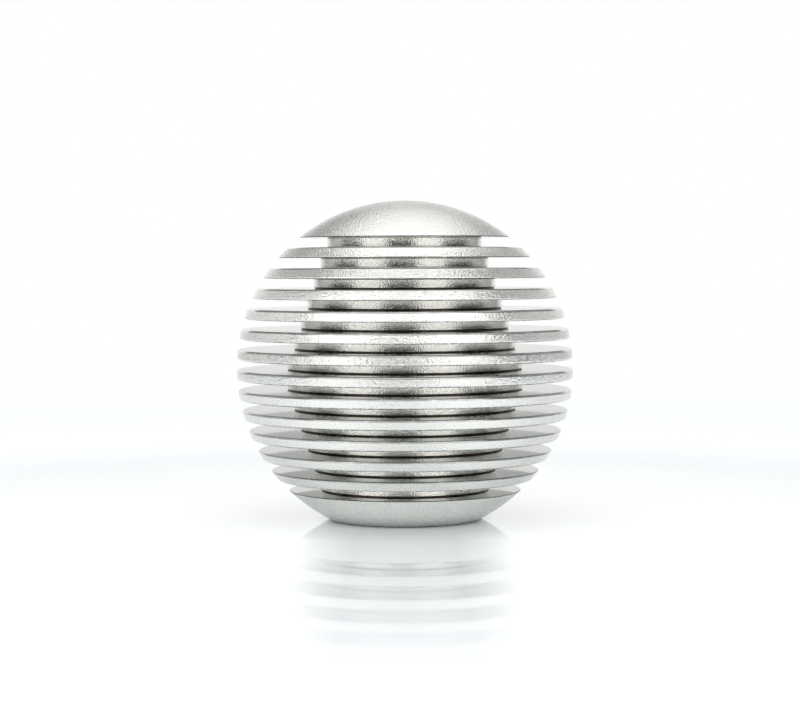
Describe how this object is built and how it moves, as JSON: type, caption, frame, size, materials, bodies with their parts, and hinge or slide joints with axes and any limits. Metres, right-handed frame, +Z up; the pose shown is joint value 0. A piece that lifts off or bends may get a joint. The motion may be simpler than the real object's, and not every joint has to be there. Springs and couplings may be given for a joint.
{
  "type": "gear shift knob",
  "caption": "Ball-shaped gear shift knob turned from aluminium: plain dome, thin fins round a stepped core, flat foot, and a screwed-in bush with the lever thread.",
  "frame": {"origin": "centre of the flat foot that the knob stands on, which is also the mouth of the lever socket", "axes": "+Z up along the turning axis, from the foot to the dome, which is also the axis of the lever thread; the driver slot in the adapter runs along X"},
  "size_m": [0.05, 0.05, 0.0474],
  "materials": {
    "blasted_aluminium": "fine bead-blasted satin with a clear anodised surface",
    "plated_steel": "turned and zinc plated"
  },
  "bodies": {
    "root": {"knob_body": "blasted_aluminium", "thread_adapter": "plated_steel"}
  },
  "joints": []
}
